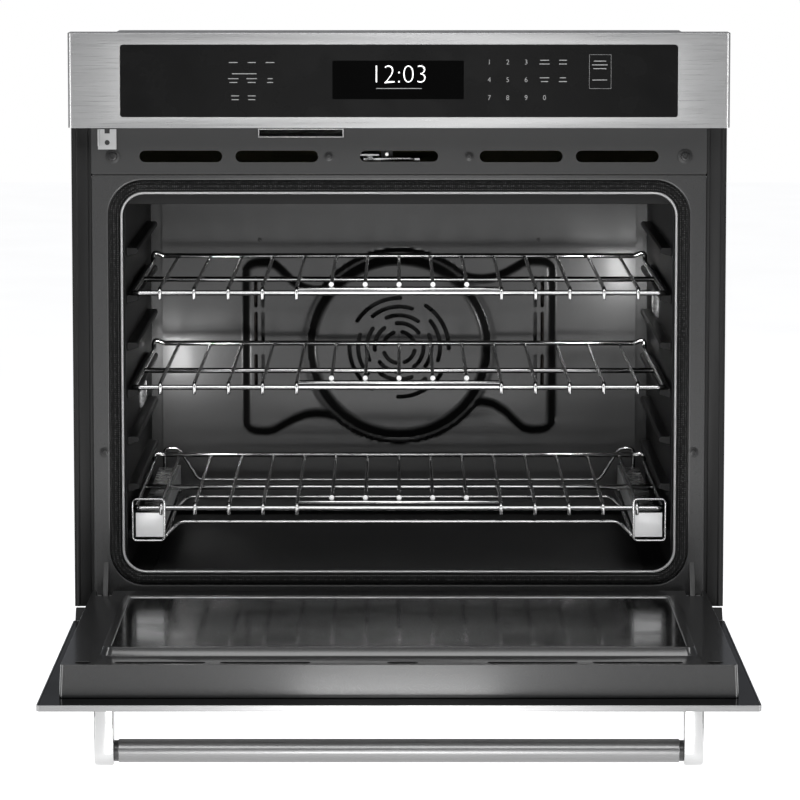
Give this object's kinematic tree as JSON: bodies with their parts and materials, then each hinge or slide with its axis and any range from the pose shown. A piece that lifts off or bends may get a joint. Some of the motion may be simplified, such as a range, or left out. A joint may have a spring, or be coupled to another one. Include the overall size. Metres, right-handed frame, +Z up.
{
  "type": "wall oven",
  "caption": "Built-in single wall oven with a drop-down glazed door, control panel above, sliding wire racks, a roll-out rack and a convection fan cover.",
  "frame": {"origin": "middle of the case's width, on the underside of its floor, at the plane of the cabinet face that the side trims lap", "axes": "+X to the oven's right as seen from the room, +Y into the cabinet, +Z up; the door is stored open and points along -Y"},
  "size_m": [0.756, 1.1574, 0.7536],
  "materials": {
    "galvanised": "zinc-coated sheet, dull spangle",
    "stainless": "stainless steel brushed along its length",
    "polished_steel": "polished steel",
    "rack_chrome": "bright chromed wire",
    "cavity_enamel": "grey porcelain enamel with a fine fleck, glossy",
    "frame_enamel": "grey porcelain enamel, glossy",
    "liner_enamel": "grey porcelain enamel, glossy",
    "dark_paint": "dark grey paint, satin",
    "trim_paint": "dark grey paint, satin",
    "black_glass": "opaque black glass, polished",
    "tinted_glass": "dark tinted glass",
    "clear_glass": "clear heat-proof glass",
    "woven_seal": "woven glass-fibre sleeve, matt",
    "wool": "mineral wool blanket",
    "board": "green circuit board",
    "display_plastic": "black moulded plastic",
    "white_plastic": "white moulded plastic",
    "element_sheath": "oxidised heating tube, dark and dull",
    "zinc_steel": "zinc-plated steel"
  },
  "bodies": {
    "chassis": {"base_panel": "galvanised", "top_panel": "galvanised", "back_panel": "galvanised", "side_panel_right": "galvanised", "side_panel_left": "galvanised", "mounting_rail_right": "trim_paint", "mounting_rail_left": "trim_paint", "bottom_trim": "trim_paint", "front_frame": "frame_enamel", "door_gasket": "woven_seal", "vent_plate": "dark_paint", "exhaust_duct": "zinc_steel", "vent_bracket": "galvanised", "control_frame": "stainless", "control_glass": "black_glass", "display_module": "display_plastic", "control_board": "board", "latch_motor": "galvanised", "door_switch": "display_plastic", "cavity_floor": "cavity_enamel", "cavity_ceiling": "cavity_enamel", "cavity_wall_right": "cavity_enamel", "cavity_wall_left": "cavity_enamel", "cavity_back": "cavity_enamel", "lamp_lens_right": "clear_glass", "lamp_lens_left": "clear_glass", "insulation_wrap": "wool", "convection_cover": "cavity_enamel", "convection_element": "element_sheath", "convection_motor": "galvanised", "broil_element": "element_sheath", "bake_element": "element_sheath", "temperature_sensor": "zinc_steel", "cooling_housing": "galvanised", "terminal_box": "galvanised", "glide_frame": "rack_chrome", "glide_rail_right": "zinc_steel", "glide_rail_left": "zinc_steel", "hinge_arm_right": "zinc_steel", "hinge_arm_left": "zinc_steel"},
    "door": {"hinge_body_right": "galvanised", "hinge_body_left": "galvanised", "door_skin": "stainless", "door_outer_glass": "black_glass", "door_border": "dark_paint", "door_middle_glass": "clear_glass", "door_liner": "liner_enamel", "door_inner_glass": "tinted_glass", "handle_post_right": "polished_steel", "handle_post_left": "polished_steel", "handle_bar": "stainless"},
    "top_rack": {"top_rack": "rack_chrome"},
    "middle_rack": {"middle_rack": "rack_chrome"},
    "bottom_rack": {"bottom_rack": "rack_chrome", "glide_runner_right": "polished_steel", "glide_runner_left": "polished_steel"},
    "latch": {"latch_hook": "zinc_steel"},
    "plunger": {"switch_plunger": "white_plastic"},
    "fan": {"convection_fan": "galvanised"},
    "blower": {"cooling_wheel": "galvanised"}
  },
  "joints": [
    {"name": "door_hinge", "type": "hinge", "parent": "chassis", "child": "door", "pos_m": [0, -0.02, 0.0496], "axis": [-1, 0, 0], "range_deg": [0, 90]},
    {"name": "top_rack_slide", "type": "slide", "parent": "chassis", "child": "top_rack", "axis": [0, 1, 0], "range_m": [-0.28, 0]},
    {"name": "middle_rack_slide", "type": "slide", "parent": "chassis", "child": "middle_rack", "axis": [0, 1, 0], "range_m": [-0.28, 0]},
    {"name": "bottom_rack_slide", "type": "slide", "parent": "chassis", "child": "bottom_rack", "axis": [0, 1, 0], "range_m": [-0.32, 0]},
    {"name": "latch_turn", "type": "hinge", "parent": "chassis", "child": "latch", "pos_m": [-0.034, 0.012, 0.561], "axis": [0, 0, 1], "range_deg": [-35, 0]},
    {"name": "plunger_slide", "type": "slide", "parent": "chassis", "child": "plunger", "axis": [0, 1, 0], "range_m": [0, 0.004], "stiffness_N_per_m": 150, "springref_m": -0.004},
    {"name": "fan_spin", "type": "hinge", "parent": "chassis", "child": "fan", "pos_m": [0, 0.54, 0.2936], "axis": [0, 1, 0], "continuous": true},
    {"name": "blower_spin", "type": "hinge", "parent": "chassis", "child": "blower", "pos_m": [0, 0.3, 0.6068], "axis": [0, 0, 1], "continuous": true}
  ]
}
